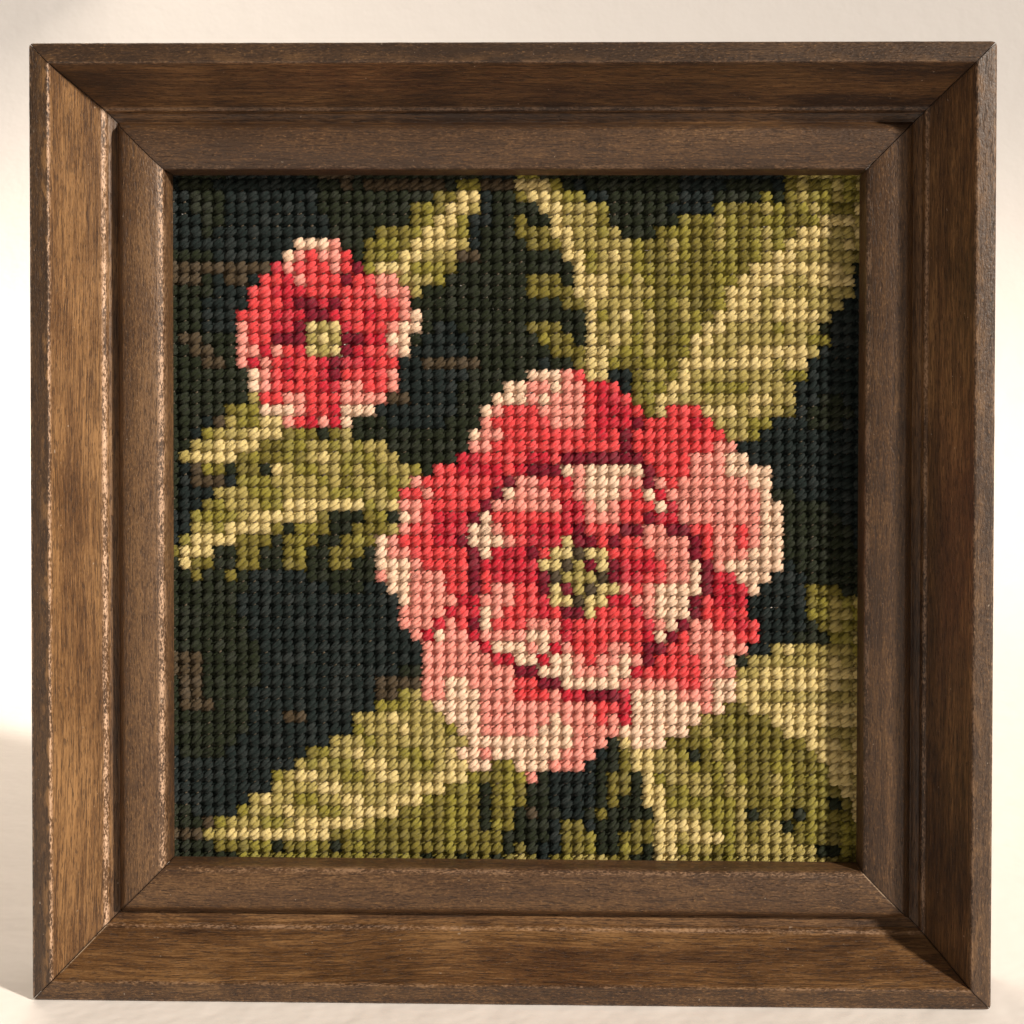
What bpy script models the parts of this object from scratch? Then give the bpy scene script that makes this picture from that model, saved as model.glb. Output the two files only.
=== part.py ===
"""A square needlepoint canvas panel in a mitred wooden frame.

Metres, +Z up. The frame stands on its bottom rail, its front looks along -Y,
and the origin is under the middle of the bottom rail. Four rails are cut from
one moulding: a bevelled outer edge, a long slope down towards the picture, a
narrow groove and a rounded inner member, with a rebate behind its sight edge.
The stitched canvas is one flat sheet lying in that rebate.
"""

import math

import bmesh
import bpy
from mathutils import Matrix, Vector

# Driving dimensions
FRAME_SIZE = 0.200           # outer width and height
FRAME_DEPTH = 0.025          # front arris to back face
FITTING_GAP = 0.0003         # clearance between neighbouring pieces

# The moulding, measured inwards from the outer edge and back from the front
OUTER_DROP = 0.0009          # the outer edge lies behind the front arris
OUTER_ARRIS_RADIUS = 0.0010
FILLET_WIDTH = 0.0043        # outer edge to front arris
FRONT_ARRIS_RADIUS = 0.0004
SLOPE_END = (0.0118, 0.0121)
SLOPE_HOLLOW = 0.0004        # how far the slope is scooped behind a straight line
SHOULDER_END = (0.0139, 0.0133)
SHOULDER_BULGE = 0.0002
GROOVE_BOTTOM = (0.0146, 0.0141)
MEMBER_START = (0.0152, 0.0131)
MEMBER_RISE = (0.0162, 0.0112)
MEMBER_CROWN = (0.0182, 0.0106)
MEMBER_END = (0.0235, 0.0118)
MEMBER_BULGE = 0.0003        # roundness of the inner member's sides and front
CROWN_BULGE = 0.0001         # roundness of the short piece up to its crown
SIGHT_ROUND = (0.0250, 0.0130)
SIGHT_EDGE = (0.0256, 0.0173)
REBATE_WIDTH = 0.0050        # from the sight edge out to the rebate's wall

# The stitched canvas
MESH_PITCH_X = 0.00254       # ten stitches to the inch across
MESH_PITCH_Z = 0.00259       # slightly longer down the warp
STITCHES_X = 62
STITCHES_Z = 61
CANVAS_THICKNESS = 0.0024    # canvas with the wool on both sides
CANVAS_EDGE_ROUND = 0.0005
CANVAS_EDGE_STEPS = 2

# Looks of the plain solids
WOOD_COLOUR = (0.105, 0.052, 0.026)
WOOD_ROUGHNESS = 0.38
WOOL_COLOUR = (0.120, 0.130, 0.045)
WOOL_ROUGHNESS = 0.9
SMOOTH_BELOW = math.radians(35)

HALF = FRAME_SIZE / 2
FRONT_Y = -FRAME_DEPTH / 2
MITRE_SETBACK = FITTING_GAP / 2 * math.sqrt(2)
QUARTER_TURN = math.radians(90)
ARC_STEPS = 4
SHORT_CURVE = 3              # straight pieces in a short curve
LONG_CURVE = 4


def clear_scene():
    for item in list(bpy.data.objects):
        bpy.data.objects.remove(item)


def make_material(name, colour, roughness):
    material = bpy.data.materials.new(name)
    material.use_nodes = True
    shader = material.node_tree.nodes["Principled BSDF"]
    shader.inputs["Base Color"].default_value = (*colour, 1.0)
    shader.inputs["Roughness"].default_value = roughness
    shader.inputs["Metallic"].default_value = 0.0
    return material


def rounded_corner(before, corner, after, radius):
    """The points of an arc that replaces one corner of an outline."""
    corner = Vector(corner)
    to_before = (Vector(before) - corner).normalized()
    to_after = (Vector(after) - corner).normalized()
    half_angle = to_before.angle(to_after) / 2
    reach = radius / math.tan(half_angle)
    bisector = (to_before + to_after).normalized()
    centre = corner + bisector * (radius / math.sin(half_angle))
    first = corner + to_before * reach - centre
    turn = first.angle_signed(corner + to_after * reach - centre)
    points = []
    for step in range(ARC_STEPS + 1):
        points.append(centre + Matrix.Rotation(-turn * step / ARC_STEPS, 2) @ first)
    return [tuple(point) for point in points]


def bowed_line(start, end, sag, pieces):
    """Points between two ends, pushed to the back of the straight line by sag."""
    start, end = Vector(start), Vector(end)
    along = end - start
    sideways = Vector((-along.y, along.x)).normalized()
    points = []
    for step in range(1, pieces):
        share = step / pieces
        bow = 4 * share * (1 - share) * sag
        points.append(tuple(start + along * share + sideways * bow))
    return points


def moulding_outline():
    """The moulding's section as (inwards, backwards) points, once around."""
    outer_front = (0.0, OUTER_DROP)
    front_arris = (FILLET_WIDTH, 0.0)
    outer_back = (0.0, FRAME_DEPTH)
    rebate_wall = SIGHT_EDGE[0] - REBATE_WIDTH
    outline = []
    outline += rounded_corner(outer_back, outer_front, front_arris, OUTER_ARRIS_RADIUS)
    outline += rounded_corner(outer_front, front_arris, SLOPE_END, FRONT_ARRIS_RADIUS)
    outline += bowed_line(front_arris, SLOPE_END, SLOPE_HOLLOW, LONG_CURVE)
    outline += [SLOPE_END]
    outline += bowed_line(SLOPE_END, SHOULDER_END, -SHOULDER_BULGE, SHORT_CURVE)
    outline += [SHOULDER_END, GROOVE_BOTTOM, MEMBER_START]
    outline += bowed_line(MEMBER_START, MEMBER_RISE, -MEMBER_BULGE, SHORT_CURVE)
    outline += [MEMBER_RISE]
    outline += bowed_line(MEMBER_RISE, MEMBER_CROWN, -CROWN_BULGE, SHORT_CURVE)
    outline += [MEMBER_CROWN]
    outline += bowed_line(MEMBER_CROWN, MEMBER_END, -MEMBER_BULGE, LONG_CURVE)
    outline += [MEMBER_END]
    outline += bowed_line(MEMBER_END, SIGHT_ROUND, -MEMBER_BULGE, LONG_CURVE)
    outline += [SIGHT_ROUND, SIGHT_EDGE]
    outline += [(rebate_wall, SIGHT_EDGE[1]), (rebate_wall, FRAME_DEPTH), outer_back]
    return outline


def make_rail(name, quarter_turns, material):
    """One mitred rail: the bottom one, turned about the frame's middle."""
    mesh = bpy.data.meshes.new(name)
    shape = bmesh.new()
    ends = []
    for side in (-1, 1):
        ring = []
        for inwards, backwards in moulding_outline():
            reach = HALF - inwards - MITRE_SETBACK
            ring.append(shape.verts.new((side * reach, FRONT_Y + backwards, inwards)))
        ends.append(ring)
    left_cap = shape.faces.new(ends[0])
    right_cap = shape.faces.new(reversed(ends[1]))
    bmesh.ops.bridge_loops(shape, edges=list(left_cap.edges) + list(right_cap.edges))
    bmesh.ops.triangulate(shape, faces=[left_cap, right_cap])
    bmesh.ops.recalc_face_normals(shape, faces=shape.faces)
    turn = Matrix.Rotation(QUARTER_TURN * quarter_turns, 4, "Y")
    to_middle = Matrix.Translation((0, 0, -HALF))
    from_middle = Matrix.Translation((0, 0, HALF))
    shape.transform(from_middle @ turn @ to_middle)
    shape.to_mesh(mesh)
    shape.free()
    mesh.shade_smooth()
    mesh.set_sharp_from_angle(angle=SMOOTH_BELOW)
    rail = bpy.data.objects.new(name, mesh)
    rail.data.materials.append(material)
    bpy.context.collection.objects.link(rail)
    return rail


def make_canvas(name, material):
    """The stitched sheet, flat, just behind the sight edge."""
    width = STITCHES_X * MESH_PITCH_X
    height = STITCHES_Z * MESH_PITCH_Z
    front = FRONT_Y + SIGHT_EDGE[1] + FITTING_GAP
    mesh = bpy.data.meshes.new(name)
    shape = bmesh.new()
    bmesh.ops.create_cube(shape, size=1.0)
    bmesh.ops.scale(shape, verts=shape.verts, vec=(width, CANVAS_THICKNESS, height))
    middle = (0, front + CANVAS_THICKNESS / 2, HALF)
    bmesh.ops.translate(shape, verts=shape.verts, vec=middle)
    shape.to_mesh(mesh)
    shape.free()
    sheet = bpy.data.objects.new(name, mesh)
    sheet.data.materials.append(material)
    bpy.context.collection.objects.link(sheet)
    soften = sheet.modifiers.new("soft_edge", "BEVEL")
    soften.width = CANVAS_EDGE_ROUND
    soften.segments = CANVAS_EDGE_STEPS
    return sheet


def main():
    clear_scene()
    wood = make_material("stained_wood", WOOD_COLOUR, WOOD_ROUGHNESS)
    wool = make_material("stitched_wool", WOOL_COLOUR, WOOL_ROUGHNESS)
    for quarter_turns, side in enumerate(("bottom", "left", "top", "right")):
        make_rail("rail_" + side, quarter_turns, wood)
    make_canvas("needlepoint_canvas", wool)


main()
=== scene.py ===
# Needlepoint canvas panel in a mitred wooden frame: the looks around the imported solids.
# Metres, +Z up, the stitched front faces -Y.
import math
import random

import bmesh
import bpy
from mathutils import Matrix, Vector, noise


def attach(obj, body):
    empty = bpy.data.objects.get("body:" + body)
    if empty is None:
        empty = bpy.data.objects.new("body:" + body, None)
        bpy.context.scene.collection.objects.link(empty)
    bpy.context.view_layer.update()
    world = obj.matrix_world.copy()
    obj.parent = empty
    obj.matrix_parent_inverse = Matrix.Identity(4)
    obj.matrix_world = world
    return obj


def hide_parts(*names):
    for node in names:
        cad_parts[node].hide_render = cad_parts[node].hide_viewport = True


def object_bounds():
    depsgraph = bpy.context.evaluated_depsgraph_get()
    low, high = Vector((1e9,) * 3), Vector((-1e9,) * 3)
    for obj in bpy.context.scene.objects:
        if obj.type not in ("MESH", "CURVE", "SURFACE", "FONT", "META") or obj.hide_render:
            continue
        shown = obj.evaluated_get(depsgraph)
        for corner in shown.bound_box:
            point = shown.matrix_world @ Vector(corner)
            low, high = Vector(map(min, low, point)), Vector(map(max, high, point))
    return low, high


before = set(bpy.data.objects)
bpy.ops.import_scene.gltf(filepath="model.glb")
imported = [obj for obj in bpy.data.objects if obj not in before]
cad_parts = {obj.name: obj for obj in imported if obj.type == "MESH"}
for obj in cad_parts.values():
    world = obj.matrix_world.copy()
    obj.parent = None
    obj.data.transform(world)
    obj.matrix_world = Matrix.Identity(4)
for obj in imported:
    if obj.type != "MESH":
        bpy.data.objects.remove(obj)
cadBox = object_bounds()
scene = bpy.context.scene
mm = 0.001
print("frame loaded")


# ---------------------------------------------------------------- camera
photoCamera = dict(
    right=21.81, back=328.93, above=33.6,     # mm from the middle of the frame's front
    pitch=-1.017, roll=-0.122, yaw=1.162,     # degrees
    focalPixels=1596.9, middlePixel=(582.6, 392.4), imagePixels=1024, filmWidth=36.0)

frameLow, frameHigh = cadBox
frameDepth = 25.0
frontY = frameHigh.y - frameDepth * mm
halfFrame = (frameHigh.z - frameLow.z) / 2


def makeCamera(s):
    cameraData = bpy.data.cameras.new("photo_camera")
    cameraData.sensor_width = s["filmWidth"]
    cameraData.lens = s["focalPixels"] / s["imagePixels"] * s["filmWidth"]
    half = s["imagePixels"] / 2
    cameraData.shift_x = (half - s["middlePixel"][0]) / s["imagePixels"]
    cameraData.shift_y = (s["middlePixel"][1] - half) / s["imagePixels"]
    cameraData.clip_start, cameraData.clip_end = 0.01, 30
    camera = bpy.data.objects.new("photo_camera", cameraData)
    turn = (Matrix.Rotation(math.radians(s["yaw"]), 4, "Z")
            @ Matrix.Rotation(math.radians(s["pitch"]), 4, "X")
            @ Matrix.Rotation(math.radians(s["roll"]), 4, "Y"))
    lookAlongY = Matrix.Rotation(math.radians(90), 4, "X")
    place = Vector((s["right"] * mm, frontY - s["back"] * mm, halfFrame + s["above"] * mm))
    camera.matrix_world = Matrix.Translation(place) @ turn @ lookAlongY
    scene.collection.objects.link(camera)
    scene.camera = camera


makeCamera(photoCamera)
print("camera placed")


# ---------------------------------------------------------------- node helpers
class Wire:
    # one output socket; sums written with it add their Math nodes
    def __init__(self, maker, socket):
        self.maker, self.socket = maker, socket

    def sum(self, operation, first, second=0.0):
        return self.maker.add("ShaderNodeMath", dict(operation=operation), {0: first, 1: second})

    def out(self, name):
        return Wire(self.maker, self.socket.node.outputs[name])

    def __add__(self, other):
        return self.sum("ADD", self, other)

    def __sub__(self, other):
        return self.sum("SUBTRACT", self, other)

    def __rsub__(self, other):
        return self.sum("SUBTRACT", other, self)

    def __mul__(self, other):
        return self.sum("MULTIPLY", self, other)

    def __truediv__(self, other):
        return self.sum("DIVIDE", self, other)

    def __rtruediv__(self, other):
        return self.sum("DIVIDE", other, self)

    def __pow__(self, other):
        return self.sum("POWER", self, other)

    __radd__, __rmul__ = __add__, __mul__


class TreeMaker:
    def __init__(self, tree):
        self.tree = tree

    def add(self, kind, settings=None, feeds=None, out=0):
        node = self.tree.nodes.new(kind)
        for name, value in (settings or {}).items():
            if name == "stops":
                self.fillRamp(node.color_ramp, value)
            else:
                setattr(node, name, value)
        for name, value in (feeds or {}).items():
            if isinstance(value, Wire):
                self.tree.links.new(value.socket, node.inputs[name])
            else:
                node.inputs[name].default_value = value
        return Wire(self, node.outputs[out]) if len(node.outputs) else None

    def fillRamp(self, ramp, stops):
        while len(ramp.elements) < len(stops):
            ramp.elements.new(1.0)
        for element, (at, colour) in zip(ramp.elements, stops):
            element.position = at
            element.color = (*colour, 1.0)

    def ramp(self, factor, stops):
        return self.add("ShaderNodeValToRGB", dict(stops=stops), {0: factor})

    def step(self, value, low, high, toLow=0.0, toHigh=1.0):
        return self.add("ShaderNodeMapRange", dict(interpolation_type="SMOOTHSTEP"),
                        {0: value, 1: low, 2: high, 3: toLow, 4: toHigh})

    def noise(self, where, scale=1.0, detail=2.0, roughness=0.5, distortion=0.0):
        return self.add("ShaderNodeTexNoise", None, {
            "Vector": where, "Scale": scale, "Detail": detail,
            "Roughness": roughness, "Distortion": distortion})

    def mixColour(self, factor, first, second, blend="MIX"):
        first = (*first, 1.0) if isinstance(first, tuple) else first
        second = (*second, 1.0) if isinstance(second, tuple) else second
        return self.add("ShaderNodeMix", dict(data_type="RGBA", blend_type=blend),
                        {0: factor, 6: first, 7: second}, out=2)

    def vector(self, operation, first, second):
        return self.add("ShaderNodeVectorMath", dict(operation=operation), {0: first, 1: second})

    def attribute(self, name, out="Fac"):
        return self.add("ShaderNodeAttribute", dict(attribute_name=name)).out(out)


def startMaterial(name):
    material = bpy.data.materials.new(name)
    material.use_nodes = True
    material.node_tree.nodes.clear()
    return material, TreeMaker(material.node_tree)


def endMaterial(maker, feeds, height=None, bumpDistance=0.0002, bumpStrength=1.0):
    if height is not None:
        feeds["Normal"] = maker.add("ShaderNodeBump", None, {
            "Height": height, "Distance": bumpDistance, "Strength": bumpStrength})
    surface = maker.add("ShaderNodeBsdfPrincipled", None, feeds)
    maker.add("ShaderNodeOutputMaterial", None, {"Surface": surface})


def startGeometryTree(name, inputs):
    # inputs are (name, kind) pairs; the first output and input carry the geometry
    tree = bpy.data.node_groups.new(name, "GeometryNodeTree")
    tree.interface.new_socket(name="Geometry", in_out="INPUT", socket_type="NodeSocketGeometry")
    tree.interface.new_socket(name="Geometry", in_out="OUTPUT", socket_type="NodeSocketGeometry")
    for label, kind in inputs:
        tree.interface.new_socket(name=label, in_out="INPUT", socket_type="NodeSocket" + kind)
    maker = TreeMaker(tree)
    return tree, maker, maker.add("NodeGroupInput")


def growPiece(name, startMesh, tree, values):
    # runs a tree on a start mesh and keeps the result as one plain mesh
    holder = bpy.data.objects.new(name + "_start", startMesh)
    scene.collection.objects.link(holder)
    modifier = holder.modifiers.new("grow", "NODES")
    modifier.node_group = tree
    for item in tree.interface.items_tree:
        if item.in_out == "INPUT" and item.name in values:
            modifier[item.identifier] = values[item.name]
    bpy.context.view_layer.update()
    graph = bpy.context.evaluated_depsgraph_get()
    mesh = bpy.data.meshes.new_from_object(holder.evaluated_get(graph), depsgraph=graph)
    holder.modifiers.remove(modifier)
    bpy.data.objects.remove(holder)
    mesh.name = name
    piece = bpy.data.objects.new(name, mesh)
    scene.collection.objects.link(piece)
    return piece


def countTriangles(piece):
    return sum(len(face.vertices) - 2 for face in piece.data.polygons)


# ---------------------------------------------------------------- wood
moulding = dict(
    # inwards, backwards and corner radius in mm, then how raised and how hollow it is, 0 to 1
    corners=[
        (0.0, 25.0, 0.30, 0.3, 0.0), (0.0, 0.9, 1.0, 0.6, 0.0), (4.3, 0.0, 0.50, 1.0, 0.0),
        (6.3, 3.5, 9.0, 0.0, 0.0), (9.0, 7.9, 9.0, 0.0, 0.0), (11.7, 11.95, 0.6, 0.8, 0.0),
        (12.35, 12.25, 0.5, 1.0, 0.0), (12.85, 13.05, 0.5, 0.3, 0.2), (14.1, 13.65, 0.5, 0.0, 0.6),
        (14.65, 13.95, 0.25, 0.0, 1.0),
        (15.15, 13.1, 0.4, 0.0, 0.9), (15.5, 11.9, 0.9, 0.1, 0.3), (16.4, 10.95, 1.2, 0.5, 0.0),
        (18.4, 10.55, 6.0, 0.1, 0.0), (21.4, 10.9, 9.0, 0.0, 0.0), (23.7, 11.6, 2.2, 0.5, 0.0),
        (24.9, 12.4, 0.9, 0.8, 0.0), (25.15, 14.2, 3.0, 0.0, 0.0), (25.6, 17.3, 0.15, 0.0, 0.3),
        (20.6, 17.3, 0.05, 0.0, 0.0), (20.6, 25.0, 0.25, 0.2, 0.0)],
    layers=("raised", "hollow", "inwards"),
    arcStep=14.0, longestPiece=1.2,
    stations=230, endGap=0.1, cornerRadius=1.3, wear=0.10, wearSize=2.2, seed=3.0)


def mouldingSection(s):
    # the outline with rounded corners, as points that carry their layers' values
    corners = s["corners"]
    points = []
    for k, (u, d, radius, *layers) in enumerate(corners):
        here = Vector((u, d))
        before, after = Vector(corners[k - 1][:2]), Vector(corners[(k + 1) % len(corners)][:2])
        toBefore, toAfter = before - here, after - here
        turn = math.pi - toBefore.angle(toAfter)
        reach = radius * math.tan(turn / 2)
        reach = min(reach, 0.49 * toBefore.length, 0.49 * toAfter.length)
        steps = max(1, round(math.degrees(turn) / s["arcStep"]))
        first, last = here + toBefore.normalized() * reach, here + toAfter.normalized() * reach
        for step in range(steps + 1):
            t = step / steps
            onCurve = first.lerp(here, t).lerp(here.lerp(last, t), t)
            points.append((onCurve.x, onCurve.y, *layers))
    dense = []
    for k, point in enumerate(points):
        following = points[(k + 1) % len(points)]
        span = math.hypot(following[0] - point[0], following[1] - point[1])
        pieces = max(1, math.ceil(span / s["longestPiece"]))
        for step in range(pieces):
            t = step / pieces
            u, d, *layers = [a + (b - a) * t for a, b in zip(point, following)]
            if 0 < t < 1 and span > 1.6:
                layers[0] = layers[1] = 0.0           # no edge and no hollow out on a flat
            dense.append((u * mm, d * mm, *layers, u))
    return dense


def sectionMesh(points, names):
    mesh = bpy.data.meshes.new("moulding_section")
    count = len(points)
    mesh.from_pydata([(point[0], point[1], 0) for point in points],
                     [(k, (k + 1) % count) for k in range(count)], [])
    for column, name in enumerate(names):
        layer = mesh.attributes.new(name, "FLOAT", "POINT")
        layer.data.foreach_set("value", [point[column + 2] for point in points])
    return mesh


def railTree():
    tree, maker, given = startGeometryTree("moulding_rail", [
        ("Half Length", "Float"), ("Stations", "Int"), ("End Gap", "Float"),
        ("Corner Radius", "Float"), ("Front", "Float"),
        ("Wear", "Float"), ("Wear Size", "Float"), ("Seed", "Float"), ("Turn", "Float"),
        ("Wood", "Material")])
    half = given.out("Half Length")
    section = maker.add("GeometryNodeMeshToCurve", None, {"Mesh": given.out("Geometry")})
    start = maker.add("ShaderNodeCombineXYZ", None, {0: half * -1.0})
    end = maker.add("ShaderNodeCombineXYZ", None, {0: half})
    line = maker.add("GeometryNodeCurvePrimitiveLine", None, {"Start": start, "End": end})
    line = maker.add("GeometryNodeResampleCurve", None, {"Curve": line, "Count": given.out("Stations")})
    swept = maker.add("GeometryNodeCurveToMesh", None, {
        "Curve": line, "Profile Curve": section, "Fill Caps": True})
    at = maker.add("GeometryNodeInputPosition")
    parts = maker.add("ShaderNodeSeparateXYZ", None, {0: at})
    inwards, backwards = parts.out("Y") * -1.0, parts.out("Z") * -1.0
    # stations crowd towards the ends, where the mitre and the worn outer corner are
    reach = parts.out("X") / half
    reach = reach * (1.5 - 0.5 * reach * reach)
    length = half - inwards - given.out("End Gap")
    side = reach.sum("SIGN", reach)
    toMitre = length * (1.0 - reach * side)
    radius = given.out("Corner Radius")
    fromEdge = reach.sum("MAXIMUM", radius - inwards, 0.0)
    fromSide = reach.sum("MAXIMUM", radius - inwards - toMitre, 0.0)
    beyond = (fromEdge * fromEdge + fromSide * fromSide) ** 0.5
    back = 1.0 - reach.sum("MINIMUM", 1.0, radius / reach.sum("MAXIMUM", beyond, 1e-6))
    placed = maker.add("ShaderNodeCombineXYZ", None, {
        0: reach * length - side * fromSide * back, 1: backwards + given.out("Front"),
        2: inwards + fromEdge * back})
    rail = maker.add("GeometryNodeStoreNamedAttribute", dict(data_type="FLOAT", domain="POINT"), {
        "Geometry": swept, "Name": "toMitre", "Value": toMitre / mm})
    rail = maker.add("GeometryNodeSetPosition", None, {"Geometry": rail, "Position": placed})
    # worn and slightly chipped raised edges, and a faint unevenness everywhere
    raised = maker.add("GeometryNodeInputNamedAttribute", dict(data_type="FLOAT"), {"Name": "raised"})
    seeded = maker.vector("ADD", at, maker.add("ShaderNodeCombineXYZ", None, {0: given.out("Seed")}))
    long = maker.vector("MULTIPLY", seeded, (0.35, 1.0, 1.0))
    chips = maker.noise(long, 1.0 / given.out("Wear Size"), 3.0, 0.6)
    chips = maker.step(chips, 0.50, 0.74)
    hollows = maker.noise(seeded, 0.12 / given.out("Wear Size"), 1.0) - 0.5
    push = (chips * raised + 0.15 * hollows) * given.out("Wear") * -1.0
    normal = maker.add("GeometryNodeInputNormal")
    shift = maker.add("ShaderNodeVectorMath", dict(operation="SCALE"), {0: normal, "Scale": push})
    rail = maker.add("GeometryNodeSetPosition", None, {"Geometry": rail, "Offset": shift})
    # the bottom rail is turned about the frame's middle
    down = maker.add("ShaderNodeCombineXYZ", None, {2: half * -1.0})
    up = maker.add("ShaderNodeCombineXYZ", None, {2: half})
    about = maker.add("ShaderNodeCombineXYZ", None, {1: given.out("Turn")})
    rail = maker.add("GeometryNodeTransform", None, {"Geometry": rail, "Translation": down})
    rail = maker.add("GeometryNodeTransform", None, {"Geometry": rail, "Rotation": about})
    rail = maker.add("GeometryNodeTransform", None, {"Geometry": rail, "Translation": up})
    rail = maker.add("GeometryNodeSetShadeSmooth", None, {"Geometry": rail})
    rail = maker.add("GeometryNodeRealizeInstances", None, {"Geometry": rail})
    rail = maker.add("GeometryNodeSetMaterial", None, {"Geometry": rail, "Material": given.out("Wood")})
    maker.add("NodeGroupOutput", None, {0: rail})
    return tree


woodLook = dict(
    deep=(0.024, 0.010, 0.004), middle=(0.100, 0.047, 0.016), light=(0.235, 0.124, 0.047),
    # wornAndHighlight is worn wood, and painted highlight where it lines the lit arrises
    wornAndHighlight=(0.58, 0.38, 0.25), hollowDark=(0.022, 0.010, 0.004), dust=(0.46, 0.38, 0.30),
    putty=(0.42, 0.30, 0.20),
    edges=[(0.3, 0.5, 0.5), (4.35, 0.45, 0.7), (12.1, 0.75, 1.0), (24.4, 0.9, 0.75)],    # mm, share rubbed and painted highlight
    bevel=(0.032, 0.018, 0.010), member=(0.056, 0.031, 0.017),    # darker stain on these parts; the bevel's amount, set rail by rail, is partly painted shade
    # repeats a metre along and across the grain
    figure=(9.0, 150.0, 150.0), streaks=(60.0, 900.0, 900.0), fibre=(210.0, 2600.0, 2600.0),
    pores=(430.0, 3900.0, 3900.0), lines=(75.0, 3300.0, 3300.0), flecks=(1300.0, 3000.0, 3000.0), patches=(150.0, 420.0, 420.0),
    poreDepth=0.06, varnish=0.12)


def makeWood(name, turn, shift, tint, bevelStainAndShade, rubAndHighlight, filled):
    # stained open-grained hardwood under a thin satin varnish; the grain runs along X before turn
    s = woodLook
    material, maker = startMaterial(name)
    here = maker.add("ShaderNodeTexCoord").out("Object")
    along = maker.add("ShaderNodeMapping", dict(vector_type="TEXTURE"), {
        "Vector": here, "Location": shift, "Rotation": (0, math.radians(turn), 0)})

    def grainNoise(spacing, detail, roughness):
        return maker.noise(maker.vector("MULTIPLY", grain, spacing), 1.0, detail, roughness) - 0.5

    sway = maker.noise(maker.vector("MULTIPLY", along, (14.0, 30.0, 30.0)), 1.0, 1.0) - 0.5
    grain = maker.vector("ADD", along, maker.add("ShaderNodeCombineXYZ", None, {
        1: sway * 0.006, 2: sway * 0.004}))
    figure = grainNoise(s["figure"], 3.0, 0.6)
    streaks = grainNoise(s["streaks"], 3.0, 0.65)
    fibre = grainNoise(s["fibre"], 2.0, 0.6)
    pores = maker.step(grainNoise(s["pores"], 1.0, 0.5), 0.10, 0.17)
    lines = maker.step(grainNoise(s["lines"], 1.0, 0.5), 0.05, 0.15)
    flecks = grainNoise(s["flecks"], 2.0, 0.6)
    patches = grainNoise(s["patches"], 3.0, 0.6)
    blotch = maker.noise(along, 42.0, 2.0, 0.5) - 0.5
    raised, hollow = maker.attribute("raised"), maker.attribute("hollow")
    inwards, toMitre = maker.attribute("inwards"), maker.attribute("toMitre")
    outer = maker.step(inwards, 4.1, 4.7, 1.0, 0.0)
    member = maker.step(inwards, 14.9, 15.8)
    rough = outer + member
    # tint shifts each rail's tone; the top rail's darker tint is painted shade
    tone = (0.5 + tint + 0.8 * figure + 0.55 * streaks + 0.6 * fibre + 0.6 * blotch
            + flecks * (0.3 + 0.7 * rough) + patches * (0.15 + 0.35 * rough))
    colour = maker.ramp(tone, [(0.22, s["deep"]), (0.50, s["middle"]), (0.82, s["light"])])
    # darker stain on the bevel, its amount set rail by rail partly as painted shade
    colour = maker.mixColour(outer * bevelStainAndShade, colour, s["bevel"])
    colour = maker.mixColour(member * 0.55, colour, s["member"])
    colour = maker.mixColour(lines * (0.55 - 0.25 * rough), colour, s["deep"])
    colour = maker.mixColour(pores * 0.6, colour, s["deep"])
    bright = maker.step(flecks, 0.12, 0.26) * (0.12 + 0.33 * rough)
    colour = maker.mixColour(bright, colour, s["light"])
    # rubbed edges, lighter along the arrises as worn wood and painted highlight, most on the lit left rail, and the
    # bevel worn bare in patches beside its arris
    nearArris = outer * maker.step(inwards, 1.8, 4.0) * maker.step(patches, 0.0, 0.12)
    colour = maker.mixColour(nearArris * rubAndHighlight * 0.75, colour, s["light"])
    crumbs = maker.step(0.8 * flecks + 0.6 * patches, -0.06, 0.12)
    for middle, half, strength in s["edges"]:
        near = maker.step(inwards, middle - half, middle) * maker.step(inwards, middle, middle + half, 1.0, 0.0)
        colour = maker.mixColour(near * crumbs * (rubAndHighlight * strength), colour, s["wornAndHighlight"])
    # darker in the deepest hollows of the groove
    colour = maker.mixColour(maker.step(hollow, 0.3, 1.0) * 0.12, colour, s["hollowDark"])
    colour = maker.mixColour(maker.step(toMitre, 0.05, 0.5, 0.5, 0.0), colour, s["deep"])
    across = maker.add("ShaderNodeSeparateXYZ", None, {0: here}).out("X")
    for end, low, high in filled:
        line = maker.step(toMitre, 0.1, 0.45, 0.8, 0.0) * maker.step(across * end, 0.0, 0.001)
        line = line * maker.step(inwards, low, low + 1.0) * maker.step(inwards, high, high + 1.0, 1.0, 0.0)
        colour = maker.mixColour(line * maker.step(flecks + patches, -0.25, 0.1), colour, s["putty"])
    specks = maker.step(maker.noise(along, 1300.0, 0.0), 0.85, 0.90)
    colour = maker.mixColour(specks * 0.35, colour, s["dust"])
    shine = 0.48 + 0.25 * blotch + 0.20 * pores + 0.35 * flecks
    height = (pores * (-1.0 * s["poreDepth"]) + 0.04 * fibre + flecks * (0.03 + 0.05 * rough)
              + 0.03 * streaks + patches * (0.03 * rough))
    endMaterial(maker, {
        "Base Color": colour, "Roughness": shine, "Coat Weight": s["varnish"],
        "Coat Roughness": 0.30, "Specular IOR Level": 0.40}, height, 0.0014)
    return material


railPlan = dict(
    # quarter turns, grain turn in degrees, pattern shift in metres, tint (the top rail's is painted shade), bevel
    # stain and painted shade, rubbed edges and painted highlight, joints filled with putty (which end, from and to mm
    # inwards), seed
    rail_bottom=(0, 0, (0.31, 0.02, 0.05), 0.02, 0.50, 0.25, [(1, 17.5, 24.6), (-1, 5.0, 11.6)], 1.0),
    rail_left=(1, 90, (1.37, 0.04, 0.42), 0.07, 0.75, 1.0, [], 2.0),
    rail_top=(2, 0, (2.11, 0.07, 0.93), -0.14, 0.70, 0.15, [], 3.0),
    rail_right=(3, 90, (3.43, 0.11, 1.71), -0.03, 0.65, 0.35, [], 4.0))


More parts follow.
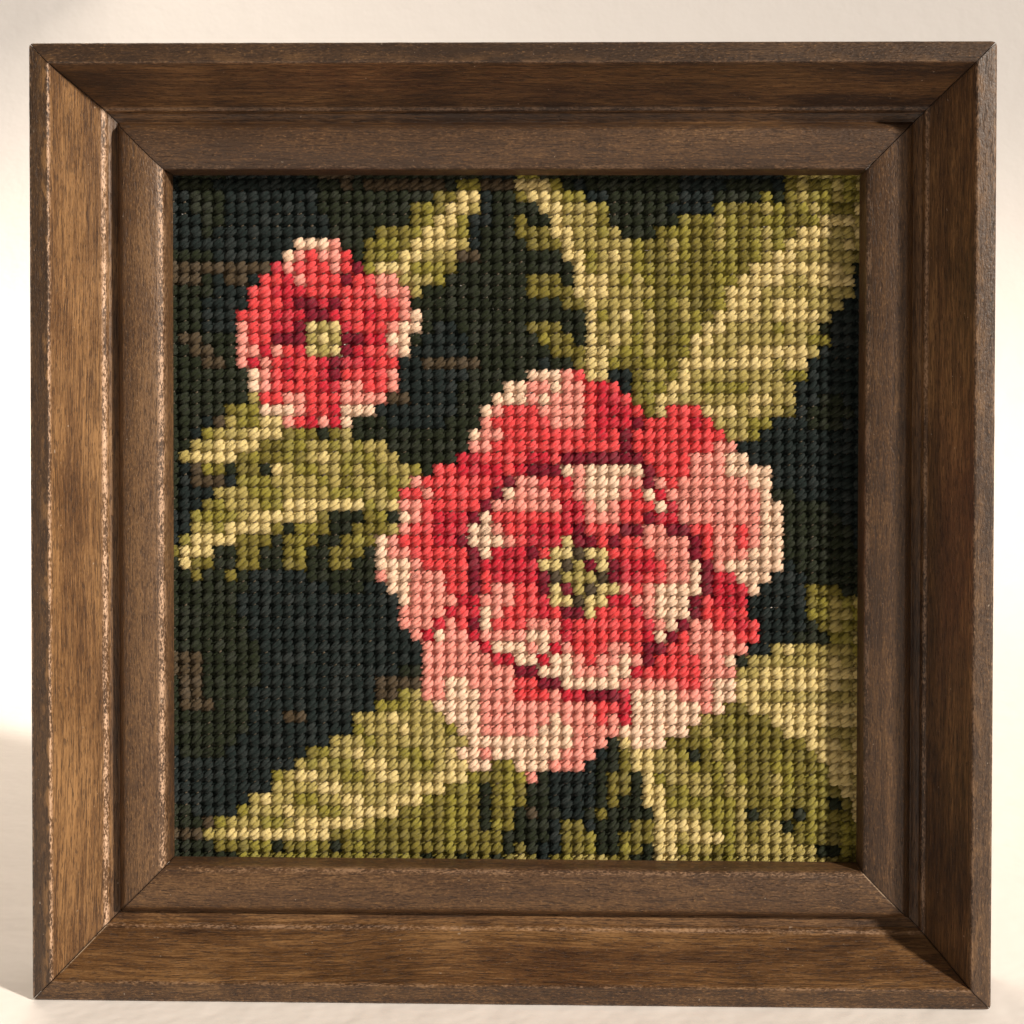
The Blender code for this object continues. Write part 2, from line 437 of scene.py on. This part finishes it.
def makeRails(s):
    points = mouldingSection(s)
    tree = railTree()
    for node, (turns, grainTurn, shift, tint, bevelStainAndShade, rubAndHighlight, filled, seed) in railPlan.items():
        wood = makeWood(node + "_wood", grainTurn, shift, tint, bevelStainAndShade, rubAndHighlight, filled)
        rail = growPiece(node + "_moulding", sectionMesh(points, s["layers"]), tree, {
            "Half Length": halfFrame, "Stations": s["stations"], "End Gap": s["endGap"] * mm,
            "Corner Radius": s["cornerRadius"] * mm, "Front": frontY, "Wear": s["wear"] * mm, "Wear Size": s["wearSize"] * mm,
            "Seed": seed * s["seed"], "Turn": math.radians(90 * turns), "Wood": wood})
        rail.data.set_sharp_from_angle(angle=math.radians(40))
        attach(rail, "root")
        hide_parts(node)
        print(node, "made,", countTriangles(rail), "triangles")


makeRails(moulding)


# ---------------------------------------------------------------- picture
canvasPlan = dict(
    across=62, up=61, pitchX=2.54, pitchZ=2.59,       # threads, and mm from one to the next
    middle=6.60, sway=0.28, threadRadius=0.34,        # mm behind the frame's middle, and mm
    # the cotton is coloured far darker than bare canvas, as painted shade in the gaps between stitches
    shadedThreadColour=(0.11, 0.080, 0.045), bareThreads=1)
picture = dict(seed=11, lightX=0.8, lightZ=0.6)

yarnColours = dict(
    inkGreen=(0.015, 0.021, 0.008), tealGreen=(0.009, 0.017, 0.016), barkBrown=(0.080, 0.056, 0.029),
    oliveGreen=(0.205, 0.170, 0.026), mossGreen=(0.295, 0.255, 0.036), paleGreen=(0.450, 0.365, 0.105),
    creamYellow=(0.740, 0.590, 0.240), blushCream=(0.970, 0.680, 0.480), shellPink=(0.950, 0.340, 0.270),
    coralRed=(0.850, 0.050, 0.055), rubyRed=(0.640, 0.008, 0.032), wineRed=(0.230, 0.003, 0.022))
yarnNames = list(yarnColours)
(inkGreen, tealGreen, barkBrown, oliveGreen, mossGreen, paleGreen,
 creamYellow, blushCream, shellPink, coralRed, rubyRed, wineRed) = range(len(yarnNames))

bigFlower = dict(at=(36.5, 25.5), petals=[
    dict(turn=100, long=17.5, wide=17, tone=0.10), dict(turn=28, long=18.5, wide=17, tone=-0.02),
    dict(turn=172, long=17.5, wide=16, tone=0.10), dict(turn=-42, long=17.0, wide=17, tone=0.02),
    dict(turn=-118, long=17.5, wide=18, tone=-0.04), dict(turn=66, long=10.5, wide=10, tone=-0.10),
    dict(turn=-6, long=10.0, wide=10, tone=-0.08), dict(turn=140, long=10.0, wide=10, tone=-0.02),
    dict(turn=-80, long=10.0, wide=10, tone=-0.10), dict(turn=-150, long=9.5, wide=9, tone=0.0)])
smallFlower = dict(at=(14.5, 45.5), petals=[
    dict(turn=95, long=8.5, wide=8, tone=0.05), dict(turn=20, long=8.5, wide=8, tone=-0.05),
    dict(turn=165, long=8.0, wide=8, tone=0.08), dict(turn=-50, long=8.0, wide=8, tone=0.0),
    dict(turn=-122, long=8.0, wide=8, tone=0.02)])
leaves = [
    dict(start=(33, 14), tip=(4, 3), wide=16, bend=3.0, tone=-0.05),
    dict(start=(26, 31), tip=(0, 26), wide=12, bend=-2.5, tone=0.06),
    dict(start=(43, 38), tip=(61, 57), wide=18, bend=2.5, tone=-0.12),
    dict(start=(38, 42), tip=(31, 60), wide=11, bend=-2.0, tone=0.05),
    dict(start=(48, 17), tip=(63, 0), wide=17, bend=3.0, tone=-0.10),
    dict(start=(41, 12), tip=(44, -6), wide=11, bend=1.5, tone=0.08),
    dict(start=(14, 41), tip=(2, 35), wide=7, bend=1.0, tone=0.08),
    dict(start=(18, 50), tip=(28, 59), wide=6.5, bend=-1.0, tone=-0.02)]
stems = [dict(points=[(30, 21), (22, 27), (17, 34), (15, 42)], wide=1.5),
         dict(points=[(47, 13), (50, 6), (49, -2)], wide=2.2)]


def wave(x, y, scale, seed):
    # smooth random value from -1 to 1
    return noise.noise(Vector((x / scale, y / scale, seed * 7.31)))


def pickYarn(shade, steps, last):
    for limit, yarn in steps:
        if shade < limit:
            return yarn
    return last


def onPetal(x, y, at, petal, seed):
    # share along and share across inside a petal, or None outside it
    turn = math.radians(petal["turn"])
    dx, dy = x - at[0], y - at[1]
    ruffle = 1 + 0.09 * wave(x, y, 3.2, seed)
    along = (dx * math.cos(turn) + dy * math.sin(turn)) / petal["long"] / ruffle
    if not 0 < along < 1:
        return None
    half = math.sin(math.pi * along ** 1.5) ** 0.62 * petal["wide"] / 2 * ruffle
    side = dy * math.cos(turn) - dx * math.sin(turn)
    return (along, side / half) if abs(side) < half else None


def petalYarn(x, y, along, across, petal, seed):
    # dark at the throat, lighter towards the light, with folds and a pale rim
    turn = math.radians(petal["turn"])
    lit = picture["lightX"] * math.cos(turn) - picture["lightZ"] * math.sin(turn)
    shade = 0.80 - 0.62 * along ** 0.9
    shade -= 0.20 * across * (1 if lit < 0 else -1) * (1 if abs(lit) > 0.2 else 0.3)
    shade += 0.13 * math.sin(across * 5.5 + petal["turn"]) * (0.4 + along)
    shade += 0.24 * wave(x, y, 2.4, seed + 3) + petal["tone"] - 0.03
    if along > 0.86 or abs(across) > 0.9:
        shade -= 0.16
    return pickYarn(shade, [(0.14, blushCream), (0.34, shellPink), (0.58, coralRed),
                            (0.80, rubyRed)], wineRed)


def flowerYarn(x, y, flower, seed):
    petals = flower["petals"]
    for k in reversed(range(len(petals))):
        hit = onPetal(x, y, flower["at"], petals[k], seed + k)
        if not hit:
            continue
        yarn = petalYarn(x, y, *hit, petals[k], seed + k)
        # a dark line where a petal passes under the next one
        for above in range(k + 1, len(petals)):
            for ox, oy in ((0.95, 0), (0, 0.95), (-0.95, 0), (0, -0.95)):
                if onPetal(x + ox, y + oy, flower["at"], petals[above], seed + above):
                    return min(wineRed, max(yarn + 2, rubyRed))
        return yarn
    return None


def leafYarn(x, y, leaf, seed):
    (ax, ay), (bx, by) = leaf["start"], leaf["tip"]
    length = math.hypot(bx - ax, by - ay)
    ux, uy = (bx - ax) / length, (by - ay) / length
    t = ((x - ax) * ux + (y - ay) * uy) / length
    if not 0 < t < 1:
        return None
    side = (y - ay) * ux - (x - ax) * uy - leaf["bend"] * math.sin(math.pi * t)
    half = leaf["wide"] / 2 * math.sin(math.pi * t ** 0.8) ** 0.75 * (1.15 - 0.35 * t)
    half *= 1 + 0.16 * wave(x, y, 1.6, seed)
    if abs(side) > half:
        return None
    facing = picture["lightZ"] * ux - picture["lightX"] * uy
    light = 0.46 + 0.26 * (1 if side * facing > 0 else -1) * min(1.0, abs(facing) + 0.4)
    light += 0.20 * wave(x, y, 3.4, seed) + 0.14 * wave(x, y, 1.3, seed + 5) - leaf["tone"]
    light += 0.15 * math.sin((t * length - abs(side) * 0.9) * 1.25)
    if abs(side) < 0.75 and t < 0.93:
        light = max(light + 0.1, 0.80)                  # the midrib
    if abs(side) > 0.86 * half:
        light -= 0.12
    return pickYarn(light, [(0.12, inkGreen), (0.37, oliveGreen), (0.55, mossGreen),
                            (0.80, paleGreen)], creamYellow)


def stemYarn(x, y, stem):
    nearest, towardsLight = 9.0, 0.0
    for (x0, y0), (x1, y1) in zip(stem["points"], stem["points"][1:]):
        lx, ly = x1 - x0, y1 - y0
        t = max(0.0, min(1.0, ((x - x0) * lx + (y - y0) * ly) / (lx * lx + ly * ly)))
        dx, dy = x - x0 - lx * t, y - y0 - ly * t
        if math.hypot(dx, dy) < nearest:
            nearest = math.hypot(dx, dy)
            towardsLight = dx * picture["lightX"] + dy * picture["lightZ"]
    if nearest > stem["wide"] / 2:
        return None
    return paleGreen if towardsLight > 0.1 else mossGreen if nearest < 0.5 else oliveGreen


def groundYarn(x, y, seed):
    # deep green with teal hollows, bark streaks and lit foliage far behind
    haze = wave(x, y, 11, seed) + 0.45 * wave(x, y, 3.5, seed + 1) + (x - 30) / 56 - (y - 30) / 95
    fleck = wave(x, y, 1.7, seed + 2)
    if haze > 0.60:
        return pickYarn(haze + 0.4 * fleck, [(0.66, oliveGreen), (0.82, mossGreen)], paleGreen)
    if haze > 0.5 and fleck > -0.1:
        return oliveGreen
    if wave(x, y * 2.4, 6.0, seed + 9) > 0.42 - 0.10 * fleck and x < 40:
        return barkBrown
    return tealGreen if wave(x, y, 8.0, seed + 6) > 0.02 else inkGreen


def yarnAt(x, y, seed):
    fromBig = math.hypot(x - bigFlower["at"][0], y - bigFlower["at"][1])
    if fromBig < 3.3:                                 # stamens
        spot = (int(x) * 7 + int(y) * 5) % 4
        if fromBig < 1.3:
            return paleGreen
        return ((creamYellow, wineRed, creamYellow, barkBrown) if fromBig < 2.7
                else (wineRed, creamYellow, wineRed, wineRed))[spot]
    if math.hypot(x - smallFlower["at"][0], y - smallFlower["at"][1]) < 1.6:
        return creamYellow if (int(x) + int(y)) % 2 else paleGreen
    found = flowerYarn(x, y, bigFlower, seed)
    if found is None:
        found = flowerYarn(x, y, smallFlower, seed + 40)
    for stem in stems:
        found = stemYarn(x, y, stem) if found is None else found
    for k in reversed(range(len(leaves))):
        found = leafYarn(x, y, leaves[k], seed + 60 + k) if found is None else found
    return groundYarn(x, y, seed + 90) if found is None else found


# ---------------------------------------------------------------- stitches
stitchPlan = dict(
    length=3.05, width=1.24, height=1.50, dip=0.62, depth=5.84, slant=37.0, slantSpread=7.0,
    sizeSpread=0.12, wander=0.22, strandApart=1.00, twist=4.0, lump=0.34, lumpSize=1.3,
    backLength=4.4, backWidth=3.1, backHeight=0.9, backDepth=6.98, backSlant=-32.0,
    hairs=900000.0, hairLength=1.3, hairRadius=0.035)    # hairs a square metre of wool


def unitSeed(maker, segments, rings, strand):
    # a small ball with its poles at the ends of X, remembering where each point lay
    ball = maker.add("GeometryNodeMeshUVSphere", None, {"Segments": segments, "Rings": rings})
    ball = maker.add("GeometryNodeTransform", None, {"Geometry": ball, "Rotation": (0, math.radians(90), 0)})
    lie = maker.vector("ADD", maker.add("GeometryNodeInputPosition"), (0.0, 5.0 * strand, 0.0))
    return maker.add("GeometryNodeStoreNamedAttribute", dict(data_type="FLOAT_VECTOR", domain="POINT"), {
        "Geometry": ball, "Name": "lie", "Value": lie})


def joined(maker, first, *others):
    both = maker.add("GeometryNodeJoinGeometry", None, {0: first})
    for other in others:
        maker.tree.links.new(other.socket, both.socket.node.inputs[0])
    return both


def shapeSeed(maker, ball, length, width, height, dip):
    parts = maker.add("ShaderNodeSeparateXYZ", None, {0: maker.add("GeometryNodeInputPosition")})
    x, y, z = parts.out("X"), parts.out("Y"), parts.out("Z")
    full = (1.02 - x * x) ** -0.13                    # fuller than an ellipse
    taper = 1.0 + 0.10 * x
    place = maker.add("ShaderNodeCombineXYZ", None, {
        0: x * length * 0.5, 1: y * full * taper * width * 0.5,
        2: z * full * height * 0.5 - dip * x * x})
    return maker.add("GeometryNodeSetPosition", None, {"Geometry": ball, "Position": place})


def stitchTree():
    tree, maker, given = startGeometryTree("tent_stitch", [
        ("Length", "Float"), ("Width", "Float"), ("Height", "Float"), ("Dip", "Float"),
        ("Depth", "Float"), ("Slant", "Float"), ("Slant Spread", "Float"), ("Size Spread", "Float"),
        ("Wander", "Float"), ("Strand Apart", "Float"), ("Twist", "Float"), ("Lump", "Float"),
        ("Lump Size", "Float"), ("Back Length", "Float"), ("Back Width", "Float"),
        ("Back Height", "Float"), ("Back Depth", "Float"), ("Back Slant", "Float"),
        ("Hairs", "Float"), ("Hair Length", "Float"), ("Hair Radius", "Float"),
        ("Seed", "Int"), ("Yarn", "Material")])

    def scatter(low, high, step):
        return maker.add("FunctionNodeRandomValue", dict(data_type="FLOAT"), {
            2: low, 3: high, "Seed": given.out("Seed") + step}, out=1)

    at = maker.add("GeometryNodeInputPosition")
    drift = maker.noise(at, 90.0, 1.0).out("Color")
    drift = maker.vector("SUBTRACT", drift, (0.5, 0.5, 0.5))
    drift = maker.add("ShaderNodeVectorMath", dict(operation="SCALE"), {
        0: drift, "Scale": given.out("Wander") * 2.0})
    drift = maker.vector("MULTIPLY", drift, (1.0, 0.0, 1.0))
    spots = maker.add("GeometryNodeSetPosition", None, {"Geometry": given.out("Geometry"), "Offset": drift})
    bunches = []
    for side in ("", "Back "):
        front = not side
        strands = []
        for hand in ((-1, 1) if front else (0,)):
            ball = unitSeed(maker, 6, 5 if front else 4, hand)
            strand = shapeSeed(maker, ball, given.out(side + "Length"), given.out(side + "Width"),
                               given.out(side + "Height"), given.out("Dip") * (1.0 if front else -0.5))
            aside = maker.add("ShaderNodeCombineXYZ", None, {1: given.out("Strand Apart") * (0.5 * hand)})
            twist = maker.add("ShaderNodeCombineXYZ", None, {2: given.out("Twist") * hand})
            strands.append(maker.add("GeometryNodeTransform", None, {
                "Geometry": strand, "Translation": aside, "Rotation": twist}))
        seedShape = joined(maker, *strands)
        depth = maker.add("ShaderNodeCombineXYZ", None, {
            1: given.out(side + "Depth") + scatter(-0.00006, 0.00006, 1)})
        moved = maker.add("GeometryNodeSetPosition", None, {"Geometry": spots, "Offset": depth})
        spread = given.out("Slant Spread")
        slant = given.out(side + "Slant") + scatter(-1.0, 1.0, 2) * spread
        turned = maker.add("ShaderNodeCombineXYZ", None, {0: math.radians(90), 1: slant * -1.0})
        grown = given.out("Size Spread")
        size = maker.add("ShaderNodeCombineXYZ", None, {
            0: 1.0 + scatter(-0.5, 0.5, 3) * grown, 1: 1.0 + scatter(-1.0, 1.0, 4) * grown,
            2: 1.0 + scatter(-1.0, 1.0, 5) * grown})
        bunch = maker.add("GeometryNodeInstanceOnPoints", None, {
            "Points": moved, "Instance": seedShape, "Rotation": turned, "Scale": size})
        bunches.append(maker.add("GeometryNodeStoreNamedAttribute", dict(data_type="FLOAT", domain="INSTANCE"), {
            "Geometry": bunch, "Name": "tone", "Value": scatter(0.0, 1.0, 6 if front else 7)}))
    wool = maker.add("GeometryNodeRealizeInstances", None, {"Geometry": joined(maker, *bunches)})
    lumps = maker.noise(at, 1.0 / given.out("Lump Size"), 1.0).out("Color")
    lumps = maker.vector("SUBTRACT", lumps, (0.5, 0.5, 0.5))
    lumps = maker.add("ShaderNodeVectorMath", dict(operation="SCALE"), {0: lumps, "Scale": given.out("Lump")})
    wool = maker.add("GeometryNodeSetPosition", None, {"Geometry": wool, "Offset": lumps})
    # loose hairs: thin spikes lying almost along the front of the wool
    facing = maker.add("ShaderNodeSeparateXYZ", None, {0: maker.add("GeometryNodeInputNormal")}).out("Y")
    roots = maker.add("GeometryNodeDistributePointsOnFaces", None, {
        "Mesh": wool, "Selection": facing.sum("LESS_THAN", facing, -0.3), "Density": given.out("Hairs"),
        "Seed": given.out("Seed")})
    hair = maker.add("GeometryNodeMeshCone", None, {
        "Vertices": 3, "Radius Top": 0.0, "Radius Bottom": given.out("Hair Radius"),
        "Depth": given.out("Hair Length")})
    lean = maker.add("ShaderNodeCombineXYZ", None, {0: scatter(1.05, 1.55, 8), 2: scatter(0.0, 6.28, 9)})
    lean = maker.add("FunctionNodeEulerToRotation", None, {0: lean})
    lean = maker.add("FunctionNodeRotateRotation", dict(rotation_space="LOCAL"), {
        "Rotation": roots.out("Rotation"), "Rotate By": lean})
    hairs = maker.add("GeometryNodeInstanceOnPoints", None, {
        "Points": roots, "Instance": hair, "Rotation": lean, "Scale": scatter(0.45, 1.0, 10)})
    hairs = maker.add("GeometryNodeRealizeInstances", None, {"Geometry": hairs})
    whole = joined(maker, wool, hairs)
    whole = maker.add("GeometryNodeSetShadeSmooth", None, {"Geometry": whole})
    whole = maker.add("GeometryNodeSetMaterial", None, {"Geometry": whole, "Material": given.out("Yarn")})
    maker.add("NodeGroupOutput", None, {0: whole})
    return tree


def makeYarn(name, colour):
    # soft wool: fibres run along each strand, and every stitch takes the dye a little differently; lit and shaded
    # copies of the colour paint sheen and shade on it
    material, maker = startMaterial(name + "_wool")
    here = maker.add("ShaderNodeTexCoord").out("Object")
    lie, tone = maker.attribute("lie", "Vector"), maker.attribute("tone")
    own = maker.add("ShaderNodeCombineXYZ", None, {0: tone * 37.0, 1: tone * 11.0})
    ply = maker.noise(maker.vector("ADD", maker.vector("MULTIPLY", lie, (0.7, 2.2, 2.2)), own), 1.0, 2.0, 0.6)
    fibres = maker.noise(maker.vector("ADD", maker.vector("MULTIPLY", lie, (1.6, 6.5, 6.5)), own), 1.0, 1.0, 0.5)
    fuzz = maker.noise(here, 4200.0, 2.0, 0.7)
    dyed = maker.noise(here, 200.0, 2.0, 0.5)
    # painted shade: darker towards each strand's ends, where the yarn dives into the canvas
    ends = maker.add("ShaderNodeSeparateXYZ", None, {0: lie}).out("X")
    ends = maker.step(ends * ends, 0.55, 1.0)
    light = (0.42 * (tone - 0.5) + 0.9 * (ply - 0.5) + 0.9 * (fuzz - 0.5) + 0.5 * (dyed - 0.5)
             - 0.30 * ends)
    # lit and shaded copies of the yarn's colour: deep is painted shade, pale is painted sheen, picked by the noise
    # and the end shade
    strongest = max(colour)
    pale = tuple(0.80 * c + 0.20 * (0.10 + 0.30 * strongest + 0.60 * c) for c in colour)
    deep = tuple(c * 0.42 for c in colour)
    shade = maker.mixColour(maker.step(light, -0.55, -0.10), deep, colour)
    shade = maker.mixColour(maker.step(light, -0.05, 0.35), shade, pale)
    # painted glints along the fibres
    fibreGlint = tuple(0.80 * c + 0.20 * (0.14 + 0.6 * c) for c in pale)
    shade = maker.mixColour(maker.step(fibres, 0.60, 0.72) * 0.55, shade, fibreGlint)
    endMaterial(maker, {
        "Base Color": shade, "Roughness": 0.9, "Specular IOR Level": 0.15,
        "Sheen Weight": 0.02 + 0.16 * strongest, "Sheen Roughness": 0.5},
        ply * 0.8 + fibres * 0.5 + fuzz * 0.6, 0.0006)
    return material


def makeCanvasThreads(s):
    # plain woven open canvas, one wavy thread after another in both directions
    paths, edges = [], []
    for crossing, (count, other) in enumerate(((s["across"], s["up"]), (s["up"], s["across"]))):
        for k in range(count):
            for j in range(-1, other + 1):
                end = j in (-1, other)
                a = (k - (count - 1) / 2)
                b = (j - (other - 1) / 2) + (0.5 if j == -1 else -0.5 if end else 0.0)
                over = (1 if (k + j + crossing) % 2 else -1) * (0.0 if end else 1.0)
                x, z = (a, b) if crossing == 0 else (b, a)
                if j > -1:
                    edges.append((len(paths) - 1, len(paths)))
                paths.append((x * s["pitchX"] * mm, (s["middle"] + over * s["sway"]) * mm,
                              halfFrame + z * s["pitchZ"] * mm))
    mesh = bpy.data.meshes.new("thread_paths")
    mesh.from_pydata(paths, edges, [])
    tree, maker, given = startGeometryTree("canvas_thread", [("Radius", "Float"), ("Cotton", "Material")])
    lines = maker.add("GeometryNodeMeshToCurve", None, {"Mesh": given.out("Geometry")})
    ring = maker.add("GeometryNodeCurvePrimitiveCircle", None, {"Resolution": 4, "Radius": given.out("Radius")})
    tubes = maker.add("GeometryNodeCurveToMesh", None, {"Curve": lines, "Profile Curve": ring, "Fill Caps": True})
    tubes = maker.add("GeometryNodeSetShadeSmooth", None, {"Geometry": tubes})
    tubes = maker.add("GeometryNodeRealizeInstances", None, {"Geometry": tubes})
    tubes = maker.add("GeometryNodeSetMaterial", None, {"Geometry": tubes, "Material": given.out("Cotton")})
    maker.add("NodeGroupOutput", None, {0: tubes})
    material, maker = startMaterial("canvas_cotton")
    here = maker.add("ShaderNodeTexCoord").out("Object")
    fibres = maker.noise(here, 5200.0, 3.0, 0.65)
    aged = maker.noise(here, 60.0, 2.0, 0.5)
    # painted shade: the threads are kept dark so the gaps between stitches read as shade
    tint = maker.mixColour(0.6 * fibres + 0.4 * aged, tuple(c * 0.6 for c in s["shadedThreadColour"]), s["shadedThreadColour"])
    endMaterial(maker, {"Base Color": tint, "Roughness": 0.9, "Sheen Weight": 0.2}, fibres, 0.0002)
    return growPiece("needlepoint_canvas_threads", mesh, tree, {"Radius": s["threadRadius"] * mm, "Cotton": material})


def makeStitches(s, canvas):
    spots = [[] for name in yarnNames]
    bare = canvas["bareThreads"]
    for j in range(bare, canvas["up"] - bare):
        for i in range(bare, canvas["across"] - bare):
            x = (i - (canvas["across"] - 1) / 2) * canvas["pitchX"] * mm
            z = halfFrame + (j - (canvas["up"] - 1) / 2) * canvas["pitchZ"] * mm
            spots[yarnAt(i + 0.5, j + 0.5, picture["seed"])].append((x, 0, z))
    tree = stitchTree()
    made = []
    for k, name in enumerate(yarnNames):
        mesh = bpy.data.meshes.new(name + "_spots")
        mesh.from_pydata(spots[k], [], [])
        piece = growPiece("stitches_" + name, mesh, tree, {
            "Length": s["length"] * mm, "Width": s["width"] * mm, "Height": s["height"] * mm,
            "Dip": s["dip"] * mm, "Depth": s["depth"] * mm, "Slant": math.radians(s["slant"]),
            "Slant Spread": math.radians(s["slantSpread"]), "Size Spread": s["sizeSpread"],
            "Wander": s["wander"] * mm, "Strand Apart": s["strandApart"] * mm,
            "Twist": math.radians(s["twist"]), "Lump": s["lump"] * mm, "Lump Size": s["lumpSize"] * mm,
            "Back Length": s["backLength"] * mm,
            "Back Width": s["backWidth"] * mm, "Back Height": s["backHeight"] * mm,
            "Back Depth": s["backDepth"] * mm, "Back Slant": math.radians(s["backSlant"]),
            "Hairs": s["hairs"], "Hair Length": s["hairLength"] * mm, "Hair Radius": s["hairRadius"] * mm,
            "Seed": 10 * k, "Yarn": makeYarn(name, yarnColours[name])})
        made.append(piece)
        print(name, len(spots[k]), "stitches,", countTriangles(piece), "triangles")
    return made


canvasThreads = makeCanvasThreads(canvasPlan)
stitchPieces = makeStitches(stitchPlan, canvasPlan)
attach(canvasThreads, "root")
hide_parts("needlepoint_canvas")
for piece in stitchPieces:
    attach(piece, "root")
print("canvas made,", countTriangles(canvasThreads), "triangles")


# ---------------------------------------------------------------- light and stage
studio = dict(
    keyFrom=(1.35, -1.0, 0.69), keyStrength=5.5, keyAngle=4.0, keyColour=(1.0, 0.90, 0.78),
    fillColour=(1.0, 0.85, 0.68), fillStrength=0.22, backdrop=(0.84, 0.77, 0.70),
    floorColour=(0.90, 0.86, 0.83), wallColour=(0.44, 0.43, 0.43), sweepWidth=5.0, sweepFront=-2.5, curveStart=0.40,
    curveRadius=0.40, sweepTop=2.4, curveSteps=16,
    backLight=(-0.35, 0.62, 0.62), backLightSize=0.5, backLightPower=4.0)


def makeStudio(s):
    sun = bpy.data.lights.new("key_light", "SUN")
    sun.energy, sun.angle, sun.color = s["keyStrength"], math.radians(s["keyAngle"]), s["keyColour"]
    lamp = bpy.data.objects.new("key_light", sun)
    lamp.rotation_mode = "QUATERNION"
    lamp.rotation_quaternion = Vector(s["keyFrom"]).to_track_quat("Z", "Y")
    scene.collection.objects.link(lamp)
    world = bpy.data.worlds.new("studio_world")
    world.use_nodes = True
    world.node_tree.nodes.clear()
    maker = TreeMaker(world.node_tree)
    soft = maker.add("ShaderNodeBackground", None, {
        "Color": (*s["fillColour"], 1.0), "Strength": s["fillStrength"]})
    seen = maker.add("ShaderNodeBackground", None, {"Color": (*s["backdrop"], 1.0), "Strength": 1.0})
    isSeen = maker.add("ShaderNodeLightPath").out("Is Camera Ray")
    both = maker.add("ShaderNodeMixShader", None, {0: isSeen, 1: soft, 2: seen})
    maker.add("ShaderNodeOutputWorld", None, {"Surface": both})
    scene.world = world
    scene.view_settings.view_transform = "Standard"
    # pale floor that curves up into a wall
    profile = [(s["sweepFront"], 0.0)]
    for k in range(s["curveSteps"] + 1):
        turn = math.pi / 2 * k / s["curveSteps"]
        profile.append((s["curveStart"] + s["curveRadius"] * math.sin(turn),
                        s["curveRadius"] * (1 - math.cos(turn))))
    profile.append((s["curveStart"] + s["curveRadius"], s["sweepTop"]))
    half = s["sweepWidth"] / 2
    points = [(side * half, y, z) for y, z in profile for side in (-1, 1)]
    faces = [(2 * k, 2 * k + 1, 2 * k + 3, 2 * k + 2) for k in range(len(profile) - 1)]
    mesh = bpy.data.meshes.new("studio_sweep")
    mesh.from_pydata(points, [], faces)
    mesh.shade_smooth()
    sweep = bpy.data.objects.new("studio_sweep", mesh)
    material, maker = startMaterial("sweep_paint")
    here = maker.add("ShaderNodeTexCoord").out("Object")
    high = maker.add("ShaderNodeSeparateXYZ", None, {0: here}).out("Z")
    # painted shade: the wall is coloured darker than the floor, offsetting the key light that falls more squarely on
    # it
    colour = maker.mixColour(maker.step(high, 0.0, 0.35), s["floorColour"], s["wallColour"])
    endMaterial(maker, {"Base Color": colour, "Roughness": 0.8}, maker.noise(here, 45.0, 3.0, 0.6), 0.0008)
    mesh.materials.append(material)
    scene.collection.objects.link(sweep)
    area = bpy.data.lights.new("back_light", "AREA")
    area.size, area.energy, area.color = s["backLightSize"], s["backLightPower"], s["fillColour"]
    lamp = bpy.data.objects.new("back_light", area)
    lamp.location = s["backLight"]
    lamp.rotation_mode = "QUATERNION"
    lamp.rotation_quaternion = (Vector(s["backLight"]) - Vector((0, 0, halfFrame))).to_track_quat("Z", "Y")
    lamp.visible_camera = False
    scene.collection.objects.link(lamp)


makeStudio(studio)
print("light and floor made")
